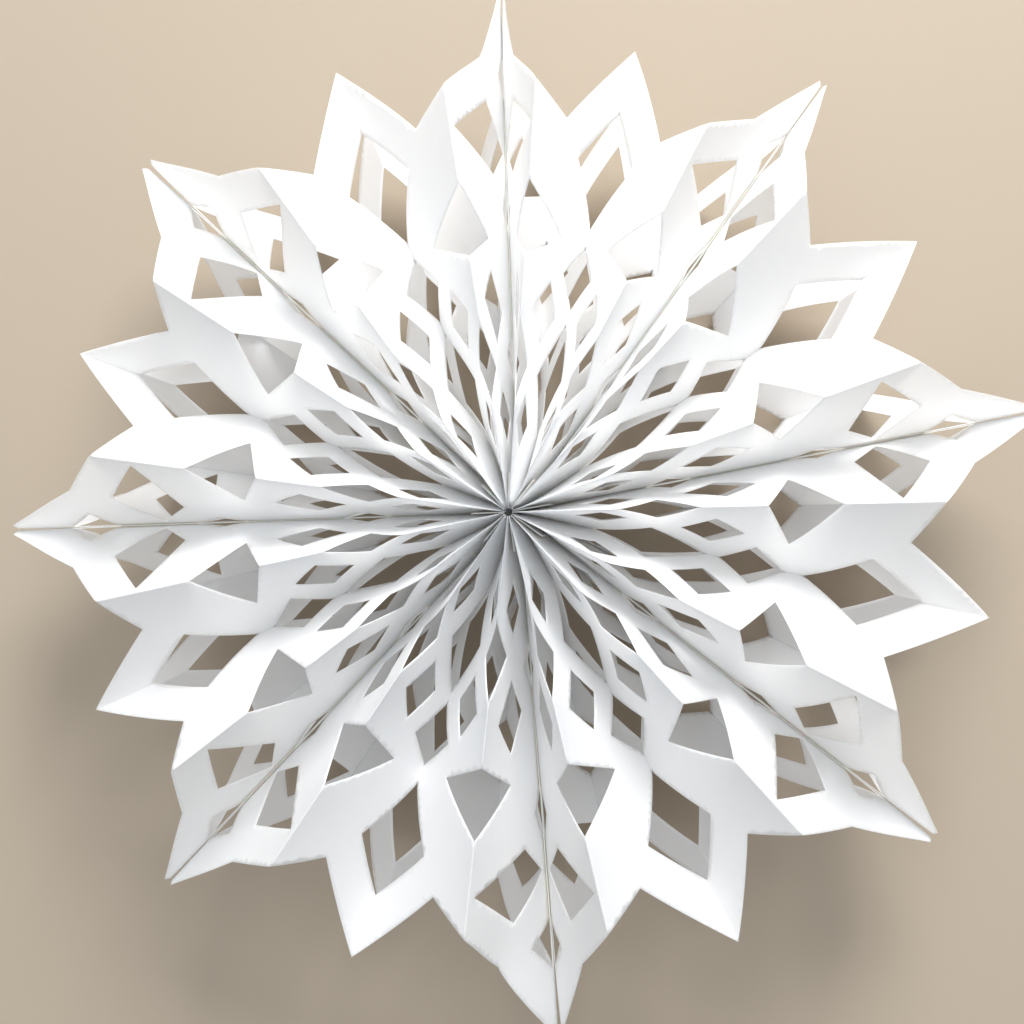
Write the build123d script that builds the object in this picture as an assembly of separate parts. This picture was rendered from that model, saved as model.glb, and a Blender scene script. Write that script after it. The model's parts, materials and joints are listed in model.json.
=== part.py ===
"""Paper snowflake star.

Eight gusseted paper bags stand side by side in a ring, glued along the centre lines of their broad
sides and across their bottoms.  Each bag folds flat like one pleat of an accordion, about the inner
corner between its two neighbours.  The ring closes with one taped seam.

Frame: millimetres, origin at the star's centre, +Z along the hub, +X near the closing seam.
The star lies on its lower edge folds.
"""
import os
from math import cos, hypot, radians, sin, sqrt, tan

from build123d import *

# The bag
bag_length = 198.0          # bottom to tip, along a glued seam
side_width = 130.0          # broad side, from edge fold to edge fold
gusset_width = 101.0        # gusset laid flat, from edge fold to edge fold
paper = 0.2                 # thickness of a sheet
bottom_fold = 12.0          # strip of the bottom that is folded over and pasted down
corner_tuck = 6.5           # how far each bottom corner is drawn in by the folded-over strip
fold_inset = 2.5            # the folded-over strip stops this far short of the edge folds
hub_radius = 2.2            # the bags' inner ends stay this far from the star's axis
gusset_start = 6.0          # the gussets begin this far from the star's axis

# The glued seams
glue_thickness = 0.2        # glue between a folded-over bottom and the next bag
glue_width = 8.0            # stripe along the centre line
glue_end = 40.0             # the stripe stops this far short of the tip
glue_margin = 3.0           # the stripe across the bottom stops this far short of the strip's ends
least_fold = 5.0            # a gusset's crease lies at least this deep, even at the tip
fold_gap = 0.3              # room between a gusset and a side at their common edge fold
closing_gap = 0.1           # room between the closing tape and the last bag

# The ring: each seam's direction, in degrees anticlockwise from +X
seam_angles = [11.0, 54.5, 92.0, 137.0, 182.0, 226.5, 274.5, 322.0]
# how far the edge folds beside each seam spread from it, in degrees: the fold of the bag that
# starts at the seam, and the fold of the bag that ends there
spreads_after = [8.8, 8.1, 6.4, 9.9, 10.2, 9.6, 8.9, 10.9]
spreads_before = [9.6, 7.5, 5.8, 11.0, 9.6, 8.9, 10.3, 9.5]
# how far each bag's gusset crease lies from the middle between its seams, in degrees
crease_shifts = [1.0, 2.0, -2.5, 0.5, 1.0, -0.5, -0.5, 1.0]

# The cut pattern.  A point is (share of the bag's length from the bottom, share of the sheet's
# width), so that the cuts follow the bag.  On a side the width runs from the centre line to an edge
# fold, and on a gusset from the edge fold to the crease.
tip = 1.0                   # the side's end, on the centre line
tip_width = 0.08            # how wide the straight end is there
side_corner = (0.838, 0.52) # where the side's outline turns between its point and the edge fold
edge_end = 0.75             # where the outline crosses the edge folds
gusset_notch = (0.71, 0.39)
gusset_tip = 0.875          # the gusset's point, on its crease
side_cuts = [
    [(0.68, 0.94), (0.765, 0.43), (0.69, 0.10), (0.635, 0.32)],
    [(0.31, 0.52), (0.385, 0.75), (0.447, 0.50), (0.375, 0.30)],
    [(0.13, 0.50), (0.178, 0.72), (0.225, 0.50), (0.178, 0.28)],
]
gusset_cuts = [
    [(0.307, 0.46), (0.365, 0.22), (0.423, 0.46), (0.365, 0.70)],
    [(0.112, 0.30), (0.160, 0.10), (0.209, 0.30), (0.160, 0.52)],
]
# Half diamonds above and below a side's centre line, with an uncut strip left between them: inner
# end, outer end, place of the third corner, and that corner's distance from the centre line
uncut_strip = 2.4           # width of the strip along the centre line
seam_diamonds = [
    (0.786, 0.887, 0.832, 0.21),
    (0.520, 0.643, 0.580, 0.14),
    (0.245, 0.347, 0.296, 0.24),
]
# Diamonds that lie across a fold: inner end, outer end, place of the side corners, and their
# distance from the fold on each sheet that meets there
edge_diamonds = [
    (0.449, 0.577, 0.505, 0.50, 0.55),
    (0.190, 0.333, 0.262, 0.35, 0.26),
]
crease_diamonds = [
    (0.548, 0.762, 0.655, 0.40),
    (0.390, 0.511, 0.450, 0.33),
    (0.143, 0.362, 0.255, 0.45),
]

# Worked out
bags = len(seam_angles)
side_half = side_width / 2
gusset_half = gusset_width / 2
hub_half = side_half - corner_tuck
half_gap = (paper + glue_thickness) / 2
fold_end = hub_radius + bottom_fold
strip_edge = uncut_strip / side_width
past = 0.04                 # how far a cutter runs past a fold, as a share
past_end = 0.12             # how far the cutters that shape an outline run past its end, as a share
past_edge = 1.6             # the outline's cutter runs on to this multiple of its last run
cutter_reach = 60.0         # half length of the cutters through the sides
thin_reach = 4.0            # half length of the cutters through one half of a gusset
end_reach = 16.0            # half length of the cutters that shape a gusset's end


def between(a, b, share):
    """The value or point at this share of the way from a to b."""
    return a + (b - a) * share


def edge_fold(along, spread):
    """An edge fold's sideways distance from its seam's plane and its height, at this distance out."""
    outer = edge_end * bag_length
    lean = outer * sin(radians(spread))
    height = sqrt(side_half**2 - lean**2)
    share = max(0.0, (along - fold_end) / (outer - fold_end))
    return between(0.0, lean, share), between(hub_half, height, share)


def prism(corners, direction, reach):
    """A straight cutter through a polygon, this long on each side of it."""
    middle = sum((Vector(*c) for c in corners), Vector()) / len(corners)
    plane = Plane(origin=middle, z_dir=direction)
    flat = [plane.to_local_coords(Vector(*c)) for c in corners]
    outline = Polyline(*[(p.X, p.Y) for p in flat], close=True)
    return plane * extrude(make_face(outline), reach, both=True)


def side_section(along, spread):
    """A side's cross-section: upright along the glued stripe, then leaning out to both edge folds."""
    lean, height = edge_fold(along, spread)
    out = half_gap + max(0.0, lean - half_gap - paper - fold_gap)
    stripe = glue_width / 2
    near = [(out, -height), (half_gap, -stripe), (half_gap, stripe), (out, height)]
    far = [(y + paper, z) for y, z in reversed(near)]
    return Wire.make_polygon([Vector(along, y, z) for y, z in near + far])


def side_point(share, width, spread):
    """A point of the cut pattern on a side, seen square to the seam's plane."""
    height = edge_fold(share * bag_length, spread)[1]
    return share * bag_length, 0.0, width * height


def both_halves(shapes, spread):
    """Cutters through a side for these shapes, above the centre line and mirrored below it."""
    return [
        prism([side_point(share, sign * width, spread) for share, width in shape], (0, 1, 0), cutter_reach)
        for shape in shapes
        for sign in (1, -1)
    ]


def seam_shapes():
    """The half diamonds beside the uncut strip."""
    return [
        [(inner, strip_edge), (place, reach), (outer, strip_edge)]
        for inner, outer, place, reach in seam_diamonds
    ]


def side_cutters(spread):
    """The cutters that give a side its point and its holes."""
    corner, width = side_corner
    above = between(width, 1.0, past_edge)
    beyond = tip + past_end
    end = [(tip, tip_width), side_corner, (between(corner, edge_end, past_edge), above)]
    shapes = [end + [(beyond, above), (beyond, tip_width)]]
    shapes += side_cuts
    for inner, outer, place, reach, _ in edge_diamonds:
        shapes.append([(inner, 1.0), (place, 1.0 - reach), (outer, 1.0), (place, 1.0 + past)])
    return both_halves(shapes + seam_shapes(), spread)


def make_side(spread):
    """A bag's broad side along +X, with its bag on the +Y side."""
    places = (hub_radius, fold_end, tip * bag_length)
    sheet = Solid.make_loft([side_section(x, spread) for x in places], ruled=True)
    return Part(sheet.wrapped) - side_cutters(spread)


def crease_height(along, spread, turn):
    """Height of a gusset's crease, where the gusset keeps its width between fold and crease."""
    height = edge_fold(along, spread)[1]
    depth_squared = gusset_half**2 - (along * sin(radians(turn))) ** 2
    return height - sqrt(max(depth_squared, least_fold**2))


def gusset_section(along, spreads, turns):
    """A gusset's V-shaped cross-section, square to its crease, with walls of one paper thickness."""
    drop = crease_height(along, sum(spreads) / 2, (turns[1] - turns[0]) / 2)
    outer, inner = [], []
    for spread, turn in zip(spreads, turns):
        across = along * tan(radians(turn))
        top = edge_fold(along / cos(radians(turn)), spread)[1] - paper
        wall = paper * hypot(across, top - drop) / (top - drop)
        outer.append((across, top))
        inner.append((across - wall * (1 if across > 0 else -1), top))
    slopes = [y / (z - drop) for y, z in outer]
    rise = (inner[1][0] - inner[0][0]) - slopes[1] * inner[1][1] + slopes[0] * inner[0][1]
    apex = rise / (slopes[0] - slopes[1])
    apex_across = inner[0][0] + slopes[0] * (apex - inner[0][1])
    points = [outer[0], (0.0, drop), outer[1], inner[1], (apex_across, apex), inner[0]]
    return Wire.make_polygon([Vector(along, y, z) for y, z in points])


def gusset_point(share, width, half, whole):
    """A point of the cut pattern on one half of a gusset, given as (spread, turn), like the whole."""
    along = share * bag_length
    spread, turn = half
    fold = Vector(along * cos(radians(turn)), along * sin(radians(turn)), edge_fold(along, spread)[1])
    crease = Vector(along, 0, crease_height(along, *whole))
    return fold + (crease - fold) * width


def gusset_cutters(spreads, turns):
    """The cutters that give both halves of a gusset their end and their holes."""
    whole = (sum(spreads) / 2, (turns[1] - turns[0]) / 2)
    beyond = gusset_tip + past_end
    side, over = -past_end, 1.0 + past
    end = [(edge_end, side), (edge_end, 0.0), gusset_notch, (gusset_tip, 1.0), (gusset_tip, over)]
    end += [(beyond, over), (beyond, side)]
    shapes = [(end, end_reach)]
    shapes += [(shape, thin_reach) for shape in gusset_cuts]
    for inner, outer, place, _, reach in edge_diamonds:
        shapes.append(([(inner, 0.0), (place, reach), (outer, 0.0), (place, -past)], thin_reach))
    for inner, outer, place, reach in crease_diamonds:
        shapes.append(([(inner, 1.0), (place, 1.0 - reach), (outer, 1.0), (place, over)], thin_reach))
    cutters = []
    for half in zip(spreads, turns):
        for shape, reach in shapes:
            corners = [tuple(gusset_point(share, width, half, whole)) for share, width in shape]
            place = sum(share for share, _ in shape) / len(shape)
            start, across, onward = (
                gusset_point(*spot, half, whole) for spot in ((place, 0), (place, 1), (place + past_end, 0))
            )
            cutters.append(prism(corners, (across - start).cross(onward - start), reach))
    return cutters


def make_gusset(spreads, turns):
    """A bag's upper gusset, with its crease above +X."""
    places = (gusset_start, bag_length / 2, (gusset_tip + past) * bag_length)
    sheet = Solid.make_loft([gusset_section(x, spreads, turns) for x in places], ruled=True)
    return Part(sheet.wrapped) - gusset_cutters(spreads, turns)


def plate(x0, x1, y0, y1, half):
    """A flat strip between two distances out and two faces, this high above and below the middle."""
    return Pos((x0 + x1) / 2, (y0 + y1) / 2, 0) * Box(x1 - x0, y1 - y0, 2 * half)


def flap(y0, y1, inset):
    """A folded-over bottom between two faces, with ends that slant at 45 degrees, or its glue."""
    half = hub_half - fold_inset - inset
    slanted = half - bottom_fold
    corners = [(hub_radius, -half), (hub_radius, half), (fold_end, slanted), (fold_end, -slanted)]
    outline = Polyline(*corners, close=True)
    return Plane.XZ.offset(-y1) * extrude(make_face(outline), y1 - y0)


def make_glue(near_face, spread):
    """A glued seam: one stripe across the bottom and one along the centre line, cut with the bags."""
    across = flap(near_face, half_gap - glue_thickness, glue_margin)
    stripe = plate(fold_end, tip * bag_length - glue_end, near_face, half_gap, glue_width / 2)
    return (across + stripe) - both_halves(seam_shapes(), spread)


os.makedirs("parts", exist_ok=True)


def save(shape, name, angle):
    """Turn a piece to its place in the ring and write it."""
    export_step(Rot(0, 0, angle) * shape, f"parts/{name}.step")


for bag in range(bags):
    number = bag + 1
    start = seam_angles[bag]
    after = (bag + 1) % bags
    stop = seam_angles[after] + (360 if after == 0 else 0)
    crease = (start + stop) / 2 + crease_shifts[bag]
    spreads = (spreads_after[bag], spreads_before[after])
    turns = (start + spreads[0] - crease, stop - spreads[1] - crease)

    save(make_side(spreads[0]), f"bag_{number}_front", start)
    save(mirror(make_side(spreads[1]), about=Plane.XZ), f"bag_{number}_back", stop)
    gusset = make_gusset(spreads, turns)
    save(gusset, f"bag_{number}_upper_gusset", crease)
    save(mirror(gusset, about=Plane.XY), f"bag_{number}_lower_gusset", crease)
    save(flap(half_gap - paper, half_gap, 0.0), f"bag_{number}_bottom", start)
    name = "closing_tape" if number == 1 else f"seam_glue_{number}"
    face = -half_gap + (closing_gap if number == 1 else 0.0)
    save(make_glue(face, spreads[0]), name, start)

# The hinge of each bag: the inner corner where its two neighbours' faces would meet when folded
for bag in range(bags):
    after = (bag + 1) % bags
    stop = seam_angles[after] + (360 if after == 0 else 0)
    opening = stop - seam_angles[bag]
    middle = radians((stop + seam_angles[bag]) / 2)
    corner = (half_gap + paper + fold_gap) / sin(radians(opening / 2))
    print(f"hinge {bag + 1}: {corner * cos(middle):.4f} {corner * sin(middle):.4f} opening {opening:.1f}")
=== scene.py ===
"""Paper snowflake star: the finished look of eight gusseted, cut and glued paper bags."""
import json
import math

import bpy
import numpy as np
from mathutils.geometry import delaunay_2d_cdt
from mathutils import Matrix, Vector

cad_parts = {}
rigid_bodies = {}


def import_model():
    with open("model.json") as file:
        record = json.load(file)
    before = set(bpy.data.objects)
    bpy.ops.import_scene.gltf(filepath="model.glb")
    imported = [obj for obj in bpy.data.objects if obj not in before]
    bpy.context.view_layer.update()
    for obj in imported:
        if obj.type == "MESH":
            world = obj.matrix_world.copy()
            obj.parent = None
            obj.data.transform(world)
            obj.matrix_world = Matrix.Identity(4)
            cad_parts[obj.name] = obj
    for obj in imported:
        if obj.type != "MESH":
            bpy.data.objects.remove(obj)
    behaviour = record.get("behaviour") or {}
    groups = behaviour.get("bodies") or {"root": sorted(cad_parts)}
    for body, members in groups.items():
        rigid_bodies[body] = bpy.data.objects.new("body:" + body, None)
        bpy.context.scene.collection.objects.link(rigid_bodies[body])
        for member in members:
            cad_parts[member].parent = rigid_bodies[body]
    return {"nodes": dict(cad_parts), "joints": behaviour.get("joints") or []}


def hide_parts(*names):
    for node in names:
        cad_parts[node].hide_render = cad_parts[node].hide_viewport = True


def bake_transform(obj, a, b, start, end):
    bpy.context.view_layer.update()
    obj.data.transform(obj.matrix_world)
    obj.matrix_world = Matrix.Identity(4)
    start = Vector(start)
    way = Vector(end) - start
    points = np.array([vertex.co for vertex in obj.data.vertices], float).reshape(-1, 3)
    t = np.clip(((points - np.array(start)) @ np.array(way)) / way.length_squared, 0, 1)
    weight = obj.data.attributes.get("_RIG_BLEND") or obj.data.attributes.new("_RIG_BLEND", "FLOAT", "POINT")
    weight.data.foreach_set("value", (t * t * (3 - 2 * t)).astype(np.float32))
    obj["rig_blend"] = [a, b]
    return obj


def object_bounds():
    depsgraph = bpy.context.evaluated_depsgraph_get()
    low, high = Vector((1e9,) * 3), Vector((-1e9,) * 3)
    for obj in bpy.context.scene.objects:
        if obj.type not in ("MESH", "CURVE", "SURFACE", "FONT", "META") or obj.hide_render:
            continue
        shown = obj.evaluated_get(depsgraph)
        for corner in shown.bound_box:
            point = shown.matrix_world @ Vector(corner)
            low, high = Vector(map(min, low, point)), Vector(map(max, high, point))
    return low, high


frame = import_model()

cad_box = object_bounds()
floor_level = cad_box[0][2] - 0.0001      # just under the lower edge folds

# The bags, in metres
bag_length = 0.198          # bottom to tip, along a glued seam
side_half = 0.065           # broad side, from centre line to edge fold
gusset_half = 0.0505        # gusset, from edge fold to crease
hub_half = 0.0585           # half the height of a bag at its bottom
hub_start = 0.0015          # the bags' inner ends, from the star's axis
fold_end = 0.0142           # end of the bottom's pasted strip
paper = 0.0002
bottom_face = 0.0003        # from a seam's middle to the middle of each of its two sheets, at the bottom
glued_face = 0.00011        # the same where only glue lies between them
glue_half = 0.004           # half the width of the glued stripe
glue_stop = 0.78            # share of the length where the two sheets begin to part
stripe_end = (0.155, 0.165) # where the mark of the glue fades out along the seam
least_fold = 0.005          # a gusset's crease lies at least this deep

# The ring, in degrees, with a value for each seam or the bag that starts there
seam_angles = [11.0, 54.5, 92.0, 137.0, 182.0, 226.5, 274.5, 322.0]
spreads_after = [8.8, 8.1, 6.4, 9.9, 10.2, 9.6, 8.9, 10.9]
spreads_before = [9.6, 7.5, 5.8, 11.0, 9.6, 8.9, 10.3, 9.5]
crease_shifts = [1.0, 2.0, -2.5, 0.5, 1.0, -0.5, -0.5, 1.0]

# How each seam's outer end is bent by hand, in metres, on the sheet after the seam and before it
splay_after = [0.0004, 0.0004, 0.0004, 0.0008, 0.0004, 0.0004, 0.0006, 0.0006]
splay_before = [0.0004, 0.0004, 0.0012, 0.0010, 0.0004, 0.0004, 0.0006, 0.0006]
bend_after = [0.0, 0.0, -0.003, 0.0, 0.0, 0.0, 0.0, 0.0]
bend_before = [0.0, 0.0, -0.003, 0.0, 0.0, 0.0, 0.0045, 0.0]

# The cut pattern: (share of the bag's length, share of the sheet's width)
tip = 1.0
tip_width = 0.08            # share of a side's width that is left of the bag's own straight end
side_corner = (0.838, 0.52)
edge_end = 0.75
gusset_notch = (0.71, 0.39)
gusset_tip = 0.875
side_cuts = [
    [(0.68, 0.94), (0.765, 0.43), (0.69, 0.10), (0.635, 0.32)],
    [(0.31, 0.52), (0.385, 0.75), (0.447, 0.50), (0.375, 0.30)],
    [(0.13, 0.50), (0.178, 0.72), (0.225, 0.50), (0.178, 0.28)],
]
gusset_cuts = [
    [(0.307, 0.46), (0.365, 0.22), (0.423, 0.46), (0.365, 0.70)],
    [(0.112, 0.30), (0.160, 0.10), (0.209, 0.30), (0.160, 0.52)],
]
# half diamonds beside the centre line's uncut strip: inner end, outer end, third corner, its distance
uncut_strip = 0.0024
seam_diamonds = [
    (0.786, 0.887, 0.832, 0.21),
    (0.520, 0.643, 0.580, 0.14),
    (0.245, 0.347, 0.296, 0.24),
]
# diamonds across a fold: inner end, outer end, side corners, and their distance on each sheet
edge_diamonds = [
    (0.449, 0.577, 0.505, 0.50, 0.55),
    (0.190, 0.333, 0.262, 0.35, 0.26),
]
crease_diamonds = [
    (0.548, 0.762, 0.655, 0.40),
    (0.390, 0.511, 0.450, 0.33),
    (0.143, 0.362, 0.255, 0.45),
]

# How the paper bends
stripe_share = 0.04         # share of a side that the glue holds upright beside the centre line
stripe_bend = 0.07          # softness of the bend beside it
fold_radius = 0.0005        # half width of the rounding at a fold
gusset_bulge = 0.0008       # how far a gusset's half stands out between its fold and its crease
side_wave = 0.0005          # height of the slow waves that handling leaves in a side
side_waves = 52.0           # how fast they follow each other, in radians to the metre
side_slant = 2.2            # how much they lag from the centre line to the edge fold, in radians
gusset_waves = 47.0         # the same rate for the changes of a gusset's bulge
gusset_change = 0.6         # and their share of the bulge
# how far the waves are shifted, in radians, from bag to bag and from a bag's first sheet to its last
side_phases = (1.3, 2.0)
gusset_phases = (1.7, 2.4)
wave_start = (0.03, 0.09)   # where a side's waves set in, from the axis
bulge_start = (0.03, 0.10)  # where a gusset's bulge sets in
bend_start = (0.68, 0.87)   # where the bends of the outer ends set in, as shares of the length
point_spacing = 0.0023      # between the points of a sheet's mesh

bags = len(seam_angles)
half_round = 2 * side_half + 2 * gusset_half
folds = np.cumsum([0.0, side_half, gusset_half, gusset_half, side_half])


# ---- camera, floor and light -------------------------------------------------------------------

def make_camera():
    """A camera above the star, a little to its right and turned back towards its middle."""
    data = bpy.data.cameras.new("camera")
    data.sensor_width = 36.0
    data.lens = 50.6
    camera = bpy.data.objects.new("camera", data)
    camera.location = (0.036, 0.0, 0.553)
    camera.rotation_euler = (0.0, math.radians(4.0), 0.0)
    bpy.context.scene.collection.objects.link(camera)
    bpy.context.scene.camera = camera


def make_light(name, place, size, watts, colour):
    """A soft square light that faces the star."""
    data = bpy.data.lights.new(name, "AREA")
    data.shape = "SQUARE"
    data.size = size
    data.energy = watts
    data.color = colour
    light = bpy.data.objects.new(name, data)
    light.location = place
    x, y, z = place
    light.rotation_euler = (math.atan2(math.hypot(x, y), z), 0.0, math.atan2(-y, -x) - math.pi / 2)
    bpy.context.scene.collection.objects.link(light)


def make_sky(colour, strength):
    """An even, pale light from all around."""
    world = bpy.data.worlds.new("sky")
    world.use_nodes = True
    background = world.node_tree.nodes["Background"]
    background.inputs["Color"].default_value = colour
    background.inputs["Strength"].default_value = strength
    bpy.context.scene.world = world


# ---- finishes ----------------------------------------------------------------------------------

class Value:
    """A number that varies over a surface; Python's arithmetic on it adds Math nodes."""

    def __init__(self, finish, socket):
        self.finish = finish
        self.socket = socket

    def maths(self, operation, *values):
        """The result of a Math node on these values."""
        node = self.finish.node("Math", {"operation": operation}, dict(enumerate(values)))
        return Value(self.finish, node.outputs[0])

    def __add__(self, other):
        return self.maths("ADD", self, other)

    def __sub__(self, other):
        return self.maths("SUBTRACT", self, other)

    def __rsub__(self, other):
        return self.maths("SUBTRACT", other, self)

    def __mul__(self, other):
        return self.maths("MULTIPLY", self, other)

    def __abs__(self):
        return self.maths("ABSOLUTE", self)

    __radd__ = __add__
    __rmul__ = __mul__

    def least(self, other):
        """The smaller of two values."""
        return self.maths("MINIMUM", self, other)

    def fade(self, start, end):
        """A smooth step: 1 up to the start, 0 from the end on."""
        node = self.finish.node(
            "MapRange",
            {"interpolation_type": "SMOOTHSTEP"},
            {"Value": self, "From Min": start, "From Max": end, "To Min": 1.0, "To Max": 0.0},
        )
        return Value(self.finish, node.outputs["Result"])


class Finish:
    """A material with one Principled surface."""

    def __init__(self, name, constants):
        self.material = bpy.data.materials.new(name)
        self.material.use_nodes = True
        self.tree = self.material.node_tree
        self.tree.nodes.clear()
        self.surface = self.node("BsdfPrincipled", {}, constants)
        self.node("OutputMaterial", {}, {"Surface": self.surface.outputs["BSDF"]})

    def node(self, kind, settings, sockets):
        """Add a node: its type, its settings, then the values or links of its sockets."""
        node = self.tree.nodes.new("ShaderNode" + kind)
        for name, value in settings.items():
            setattr(node, name, value)
        self.feed(node, sockets)
        return node

    def feed(self, node, sockets):
        """Set or link a node's inputs."""
        for name, value in sockets.items():
            if isinstance(value, Value):
                value = value.socket
            if isinstance(value, bpy.types.NodeSocket):
                self.tree.links.new(value, node.inputs[name])
            else:
                node.inputs[name].default_value = value

    def noise(self, place, scale, detail=2.0):
        """Soft noise from 0 to 1 with this many patches to the metre."""
        node = self.node("TexNoise", {}, {"Vector": place, "Scale": scale, "Detail": detail})
        return Value(self, node.outputs[0])

    def stretched(self, place, stretch):
        """The place with each of its parts multiplied."""
        node = self.node("VectorMath", {"operation": "MULTIPLY"}, {0: place, 1: stretch})
        return node.outputs[0]

    def mix(self, share, first, second):
        """A colour between two others."""
        node = self.node("Mix", {"data_type": "RGBA"}, {0: share, 6: first, 7: second})
        return node.outputs[2]

    def bump(self, height, distance, strength=1.0, under=None):
        """The surface's direction, tipped by a height that varies over it."""
        sockets = {"Height": height, "Distance": distance, "Strength": strength}
        if under is not None:
            sockets["Normal"] = under
        return self.node("Bump", {}, sockets).outputs["Normal"]

    def end(self, **sockets):
        """Link the surface's own inputs and hand over the material."""
        names = {"colour": "Base Color", "roughness": "Roughness", "normal": "Normal"}
        self.feed(self.surface, {names[name]: value for name, value in sockets.items()})
        return self.material


bright_paper = (0.95, 0.955, 0.96, 1)
dull_paper = (0.925, 0.93, 0.935, 1)
worn_paper = (0.955, 0.96, 0.965, 1)
glued_paper = (0.93, 0.92, 0.86, 1)
paper_constants = {
    "Specular IOR Level": 0.3,
    "Subsurface Weight": 0.8,
    "Subsurface Radius": (1.0, 0.95, 0.85),
    "Subsurface Scale": 0.0012,
}


def paper_grain(finish, place):
    """Uncoated paper: clouds a few millimetres wide, short fibres along the sheet, and fine tooth."""
    cloud = finish.noise(place, 210.0, 3.0)
    fibre = finish.noise(finish.stretched(place, (0.35, 1.0, 1.0)), 2100.0, 2.0)
    tooth = finish.noise(place, 5200.0, 1.0)
    return cloud, fibre, cloud * 0.35 + fibre * 0.45 + tooth * 0.2


def bag_finish():
    """White bag paper, read from the flat sheet: polished folds and glue that shows through."""
    finish = Finish("bag paper", paper_constants)
    flat = finish.node("Attribute", {"attribute_name": "flat_sheet"}, {}).outputs["Vector"]
    parts = finish.node("SeparateXYZ", {}, {0: flat})
    along, around = (Value(finish, parts.outputs[k]) for k in (0, 1))
    cloud, fibre, grain = paper_grain(finish, flat)

    nearest = abs(around - folds[1])
    for fold in folds[2:4]:
        nearest = nearest.least(abs(around - fold))
    crease = nearest.fade(0.0, 0.0007)
    wear = nearest.fade(0.0002, 0.0016) * fibre
    centre = around.least(half_round - around)
    blotch = finish.noise(flat, 130.0) * 0.003
    stripe = (centre + blotch).fade(glue_half, 2 * glue_half) * along.fade(*stripe_end)
    pasted = abs(along - fold_end).fade(0.0, 0.0008)

    colour = finish.mix(cloud, bright_paper, dull_paper)
    colour = finish.mix(stripe * 0.55, colour, glued_paper)
    colour = finish.mix(wear, colour, worn_paper)
    normal = finish.bump(grain, 0.00006, 0.7)
    normal = finish.bump(crease + pasted * 0.6 + stripe * 0.3, 0.00012, 0.6, normal)
    return finish.end(colour=colour, roughness=cloud * 0.08 + 0.76, normal=normal)


def pasted_finish():
    """The folded-over bottoms: the same paper, stiff with paste."""
    finish = Finish("pasted paper", paper_constants)
    place = finish.node("TexCoord", {}, {}).outputs["Object"]
    cloud, _, grain = paper_grain(finish, place)
    colour = finish.mix(cloud, bright_paper, glued_paper)
    return finish.end(colour=colour, roughness=cloud * 0.1 + 0.7, normal=finish.bump(grain, 0.00008, 0.8))


def glue_finish(name, colours, roughness, patches):
    """Dried glue or tape between two sheets: faintly mottled, with a soft gloss and small ripples."""
    finish = Finish(name, {"Subsurface Weight": 0.6, "Subsurface Scale": 0.0004})
    place = finish.node("TexCoord", {}, {}).outputs["Object"]
    ripple = finish.noise(place, patches, 3.0)
    colour = finish.mix(ripple, *colours)
    normal = finish.bump(ripple, 0.0001, 0.6)
    return finish.end(colour=colour, roughness=ripple * 0.2 + roughness, normal=normal)


def floor_finish():
    """A plain, pale, matt floor."""
    finish = Finish("floor", {"Base Color": (0.46, 0.385, 0.30, 1), "Roughness": 0.75})
    return finish.material


def make_floor():
    """A plain floor just under the lower edge folds."""
    reach = 3.0
    corners = [(-reach, -reach), (reach, -reach), (reach, reach), (-reach, reach)]
    mesh = bpy.data.meshes.new("floor")
    mesh.from_pydata([(x, y, floor_level) for x, y in corners], [], [(0, 1, 2, 3)])
    floor = bpy.data.objects.new("floor", mesh)
    bpy.context.scene.collection.objects.link(floor)
    mesh.materials.append(floor_finish())


# ---- the shape of a bag ------------------------------------------------------------------------

def smooth(value, start, end):
    """A smooth step from 0 at the start to 1 at the end: 3u^2 - 2u^3."""
    share = np.clip((value - start) / (end - start), 0, 1)
    return share * share * (3 - 2 * share)


def edge_height(along, spread):
    """Height of an edge fold: it rises evenly from the pasted bottom to its outer end."""
    outer = edge_end * bag_length
    height = math.sqrt(side_half**2 - (outer * math.sin(math.radians(spread))) ** 2)
    share = np.maximum(0.0, (along - fold_end) / (outer - fold_end))
    return hub_half + (height - hub_half) * share


def soft_ramp(share):
    """A ramp that stays low on the glued stripe: half of v + sqrt(v^2 + bend^2), v past the stripe."""
    past = share - stripe_share
    return (np.sqrt(past**2 + stripe_bend**2) + past) / 2


def side_points(along, share, angle, spread, sign, bent):
    """Points of a side: a strip that stands in the seam's plane, then leans towards its own bag.

    The lean follows the soft ramp, and the height makes up for it so that the sheet keeps its width.
    Past the glue's end the strip springs away from the plane with the square of the distance, and
    the outer end is bent by a half sine across the sheet.
    """
    angle, spread_angle = math.radians(angle), math.radians(spread)
    splay, bend, phase = bent
    part = soft_ramp(share) - soft_ramp(0.0)
    whole = soft_ramp(1.0) - soft_ramp(0.0)
    out = part / whole
    reach = along * math.sin(spread_angle)
    radial = along * (1 - (1 - math.cos(spread_angle)) * out)
    face = bottom_face + (glued_face - bottom_face) * smooth(along, fold_end, 1.5 * fold_end)
    free = np.clip(along / bag_length - glue_stop, 0, None) / (1 - glue_stop)
    arch = np.sin(np.pi * share)
    wave = side_wave * arch * np.sin(along * side_waves + phase + side_slant * share)
    wave *= smooth(along, *wave_start)
    across = face + np.maximum(reach - face, 0.0) * out + wave
    across += splay * free**2 * (1 - share) ** 3
    across += bend * arch * smooth(along, *(place * bag_length for place in bend_start))
    slope = np.clip(reach / (side_half * whole), 0.0, 0.9)
    upright = np.sqrt(1 - slope**2)
    height = (share - part * (1 - upright)) / (1 - whole * (1 - upright)) * edge_height(along, spread)
    return np.stack([
        radial * math.cos(angle) - sign * across * math.sin(angle),
        radial * math.sin(angle) + sign * across * math.cos(angle),
        height,
    ], axis=-1)


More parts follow.
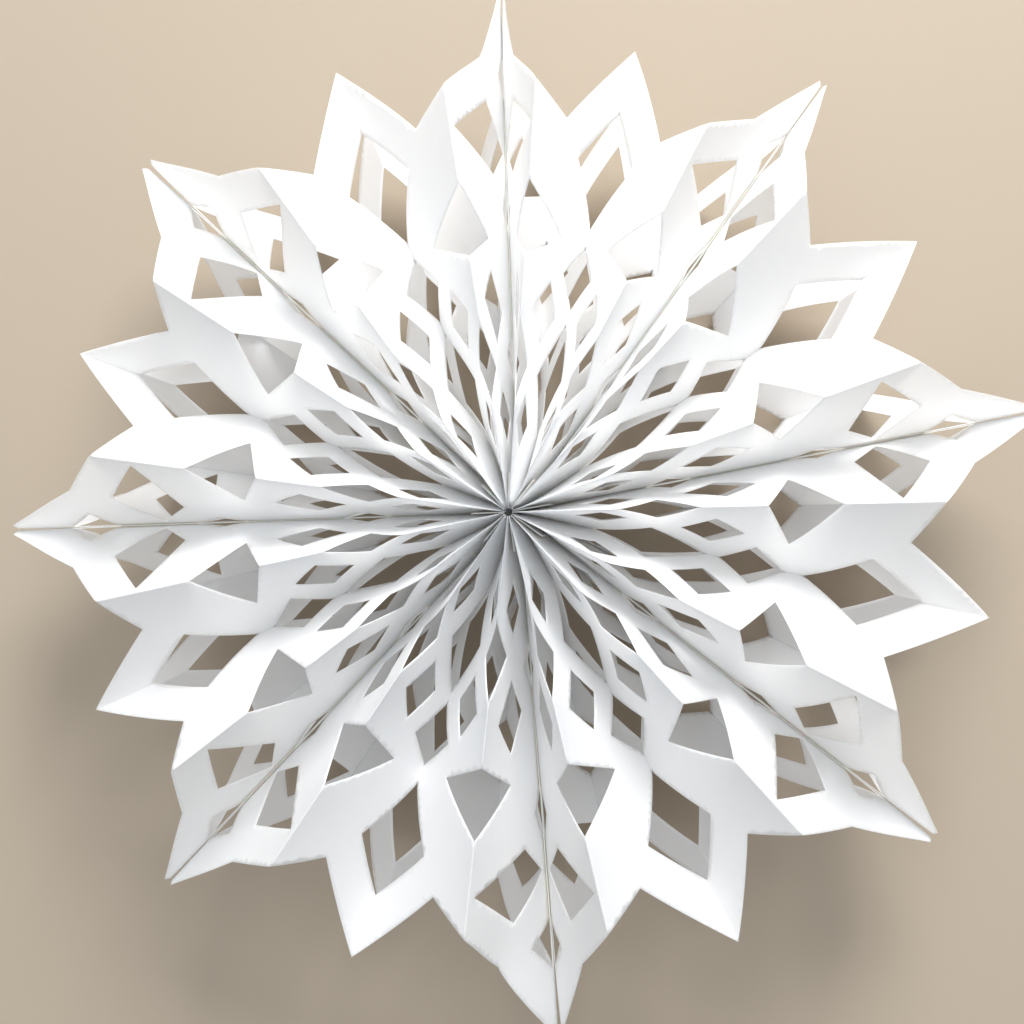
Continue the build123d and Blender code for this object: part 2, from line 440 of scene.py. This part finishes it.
def bag_angles(bag):
    """Directions of a bag's two seams and its crease, and the spreads of its two edge folds."""
    after = (bag + 1) % bags
    start = seam_angles[bag]
    stop = seam_angles[after] + (360 if after == 0 else 0)
    return start, stop, (start + stop) / 2 + crease_shifts[bag], (spreads_after[bag], spreads_before[after])


def ray(along, angle, height):
    """Points in this direction from the axis, in degrees, at these distances and heights."""
    angle = math.radians(angle)
    return np.stack([along * math.cos(angle), along * math.sin(angle), height], axis=-1)


def gusset_points(along, share, bag, which):
    """Points of one half of a gusset: from its edge fold to the crease, standing out by a half sine.

    The crease lies as deep as the sheet's width allows, by Pythagoras across half the opening.
    """
    start, stop, crease, spreads = bag_angles(bag)
    fold_angle = start + spreads[0] if which == 0 else stop - spreads[1]
    turn = math.radians(stop - spreads[1] - start - spreads[0]) / 2
    depth = np.sqrt(np.maximum(gusset_half**2 - (along * math.sin(turn)) ** 2, least_fold**2))
    fold = ray(along, fold_angle, edge_height(along, spreads[which]))
    low = ray(along, crease, edge_height(along, sum(spreads) / 2) - depth)
    run = low - fold
    outward = np.cross(run, ray(np.ones_like(along), crease, np.zeros_like(along)))
    outward *= np.sign(outward[..., 2:]) / np.linalg.norm(outward, axis=-1, keepdims=True)
    phase = gusset_phases[0] * bag + gusset_phases[1] * which
    wave = 1 + gusset_change * np.sin(along * gusset_waves + phase)
    bulge = gusset_bulge * wave * np.sin(np.pi * share) * smooth(along, *bulge_start)
    return fold + run * share[..., None] + outward * bulge[..., None]


def plain_points(along, around, bag):
    """Points of a bag's upper half with sharp folds, for distances along the bag and around it."""
    start, stop, _, spreads = bag_angles(bag)
    after = (bag + 1) % bags
    phase = side_phases[0] * bag
    first = (splay_after[bag], bend_after[bag], phase)
    last = (splay_before[after], bend_before[after], phase + side_phases[1])
    parts = [
        side_points(along, np.clip(around / side_half, 0, 1), start, spreads[0], 1, first),
        gusset_points(along, np.clip((around - folds[1]) / gusset_half, 0, 1), bag, 0),
        gusset_points(along, np.clip((folds[3] - around) / gusset_half, 0, 1), bag, 1),
        side_points(along, np.clip((half_round - around) / side_half, 0, 1), stop, spreads[1], -1, last),
    ]
    where = [np.broadcast_to((around <= fold)[..., None], parts[0].shape) for fold in folds[1:4]]
    return np.select(where, parts[:3], parts[3])


def bag_points(along, around, bag):
    """The same, with each fold rounded by averaging over a short stretch on both sides of it."""
    reach = np.minimum(fold_radius, np.minimum(around, half_round - around))
    stretch = (-1.0, -0.5, 0.0, 0.5, 1.0)
    return sum(plain_points(along, around + reach * step, bag) for step in stretch) / len(stretch)


# ---- the flat sheet with its cuts --------------------------------------------------------------

def on_side(shape, back):
    """A pattern shape on the first or the last side, in metres along and around the bag."""
    return [(u * bag_length, half_round - w * side_half if back else w * side_half) for u, w in shape]


def on_gusset(shape, back):
    """A pattern shape on the first or the last half of the gusset."""
    return [
        (u * bag_length, folds[3] - w * gusset_half if back else folds[1] + w * gusset_half)
        for u, w in shape
    ]


def flat_shapes():
    """The outlines of half a bag laid flat: the outside and the holes."""
    first = [(tip, 0.0), (tip, tip_width), side_corner, (edge_end, 1.0)]
    outline = [(hub_start, 0.0)] + on_side(first, False)
    outline += on_gusset([gusset_notch, (gusset_tip, 1.0)], False) + on_gusset([gusset_notch], True)
    outline += on_side(first[::-1], True) + [(hub_start, half_round)]
    edge = uncut_strip / 2 / side_half
    holes = []
    for back in (False, True):
        holes += [on_side(shape, back) for shape in side_cuts]
        holes += [on_gusset(shape, back) for shape in gusset_cuts]
        for inner, outer, place, reach in seam_diamonds:
            holes.append(on_side([(inner, edge), (place, reach), (outer, edge)], back))
        for inner, outer, place, side_reach, gusset_reach in edge_diamonds:
            half = on_side([(inner, 1.0), (place, 1.0 - side_reach), (outer, 1.0)], back)
            holes.append(half + on_gusset([(place, gusset_reach)], back))
    for inner, outer, place, reach in crease_diamonds:
        half = on_gusset([(inner, 1.0), (place, 1.0 - reach), (outer, 1.0)], False)
        holes.append(half + on_gusset([(place, 1.0 - reach)], True))
    return outline, holes


def inside(points, shape):
    """Whether each point lies in a polygon: an odd number of its edges cross a line to the left."""
    x, y = points[:, 0, None], points[:, 1, None]
    x0, y0 = np.array(shape).T
    x1, y1 = np.roll(shape, -1, axis=0).T
    spans = (y0 > y) != (y1 > y)
    with np.errstate(divide="ignore", invalid="ignore"):
        crossing = x0 + (y - y0) * (x1 - x0) / (y1 - y0)
    return (np.sum(spans & (x < crossing), axis=1) % 2).astype(bool)


def on_paper(points, outline, holes):
    """Whether each point lies inside the outline and in none of the holes."""
    keep = inside(points, outline)
    for hole in holes:
        keep &= ~inside(points, hole)
    return keep


def distance(points, loops):
    """Distance from each point to the nearest run of the loops."""
    best = np.full(len(points), np.inf)
    for loop in loops:
        for a, b in zip(np.array(loop), np.roll(loop, -1, axis=0)):
            run = b - a
            share = np.clip((points - a) @ run / (run @ run), 0, 1)
            best = np.minimum(best, np.linalg.norm(points - a - share[:, None] * run, axis=1))
    return best


def flat_sheet():
    """Half a bag laid flat: triangles between the cuts, with rows of points along every fold."""
    outline, holes = flat_shapes()
    loops = [outline] + holes
    points, edges = [], []
    for loop in loops:
        first = len(points)
        for a, b in zip(np.array(loop), np.roll(loop, -1, axis=0)):
            steps = max(1, round(math.dist(a, b) / point_spacing))
            points += list(map(tuple, a + np.arange(steps)[:, None] / steps * (b - a)))
        last = len(points)
        edges += [(k, k + 1) for k in range(first, last - 1)] + [(last - 1, first)]
    for fold in folds[1:4]:
        edges.append((len(points), len(points) + 1))
        points += [(hub_start, fold), (bag_length, fold)]
    beside = np.array([-3.0, -1.5, -0.7, 0.0, 0.7, 1.5, 3.0]) * fold_radius
    rows = [fold + beside for fold in folds[1:4]] + [[0.0, half_round]]
    for a, b in zip(folds[:-1], folds[1:]):
        rows.append(np.linspace(a, b, round((b - a) / point_spacing) + 1)[1:-1])
    columns = np.arange(hub_start, bag_length, point_spacing)
    grid = np.array(np.meshgrid(columns, np.unique(np.concatenate(rows)))).reshape(2, -1).T
    grid = grid[on_paper(grid, outline, holes)]
    points += list(map(tuple, grid[distance(grid, loops) > 0.3 * point_spacing]))
    flat, _, faces, _, _, _ = delaunay_2d_cdt(points, edges, [], 0, 1e-7)
    flat, faces = np.array([tuple(p) for p in flat]), np.array(faces)
    faces = faces[on_paper(flat[faces].mean(axis=1), outline, holes)]
    used, faces = np.unique(faces, return_inverse=True)
    return flat[used], faces.reshape(-1, 3)


def turn_shares(points, joint, start, stop):
    """How far each point turns with the bag's far seam: its share of the way round the hinge."""
    middle = math.radians((start + stop) / 2)
    half = math.radians(stop - start) / 2
    x, y = points[:, 0] - joint["pos_m"][0], points[:, 1] - joint["pos_m"][1]
    out = x * math.cos(middle) + y * math.sin(middle)
    sideways = y * math.cos(middle) - x * math.sin(middle)
    return np.clip((np.arctan2(sideways, out) + half) / (2 * half), 0, 1)


def make_bag(bag, flat, faces, material):
    """One bag: the flat sheet folded into its upper half, and the same turned over for its lower half."""
    upper = bag_points(flat[:, 0], flat[:, 1], bag)
    on_seam = (flat[:, 1] < 1e-7) | (flat[:, 1] > half_round - 1e-7)
    below = np.where(on_seam, 0, len(flat)) + np.arange(len(flat))
    triangles = np.concatenate([faces, below[faces][:, ::-1]])
    used, triangles = np.unique(triangles, return_inverse=True)
    points = np.concatenate([upper, upper * (1, 1, -1)])[used]
    sheet = np.column_stack([flat, np.full(len(flat), 0.3 * bag)])
    sheet = np.concatenate([sheet, sheet])[used]

    mesh = bpy.data.meshes.new(f"paper_bag_{bag + 1}")
    mesh.from_pydata(points, [], triangles.reshape(-1, 3))
    mesh.polygons.foreach_set("use_smooth", np.ones(len(mesh.polygons), bool))
    mesh.attributes.new("flat_sheet", "FLOAT_VECTOR", "POINT").data.foreach_set("vector", sheet.ravel())
    mesh.materials.append(material)
    piece = bpy.data.objects.new(f"paper_bag_{bag + 1}", mesh)
    bpy.context.scene.collection.objects.link(piece)

    joint = next(j for j in frame["joints"] if j["name"] == f"bag_{bag + 1}_fold")
    start, stop, _, _ = bag_angles(bag)
    ends = [tuple(ray(0.1, angle, 0.0)) for angle in (start, stop)]
    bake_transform(piece, joint["parent"], joint["child"], start=ends[0], end=ends[1])
    shares = turn_shares(points, joint, start, stop)
    mesh.attributes["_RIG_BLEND"].data.foreach_set("value", shares)

    thick = piece.modifiers.new("paper", "SOLIDIFY")
    thick.thickness = paper
    thick.offset = 0.0
    sheets = ("front", "back", "upper_gusset", "lower_gusset")
    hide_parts(*[f"bag_{bag + 1}_{sheet_name}" for sheet_name in sheets])


make_camera()
make_floor()
make_sky((0.94, 0.97, 1.0, 1), 0.66)
make_light("window", (0.24, 0.92, 0.85), 0.6, 17.0, (1.0, 0.99, 0.97))
make_light("room", (-0.5, 0.1, 1.3), 1.4, 2.0, (0.95, 0.98, 1.0))
bpy.context.scene.view_settings.view_transform = "Standard"
bpy.context.scene.cycles.diffuse_bounces = 12

white = bag_finish()
flat, faces = flat_sheet()
for bag in range(bags):
    make_bag(bag, flat, faces, white)

finishes = {
    "bottom": pasted_finish(),
    "glue": glue_finish("dried glue", ((0.90, 0.89, 0.84, 1), (0.86, 0.84, 0.76, 1)), 0.35, 300.0),
    "tape": glue_finish("closing tape", ((0.88, 0.87, 0.82, 1), (0.84, 0.82, 0.74, 1)), 0.25, 120.0),
}
for name, node in frame["nodes"].items():
    for part, finish in finishes.items():
        if part in name:
            node.data.materials.clear()
            node.data.materials.append(finish)
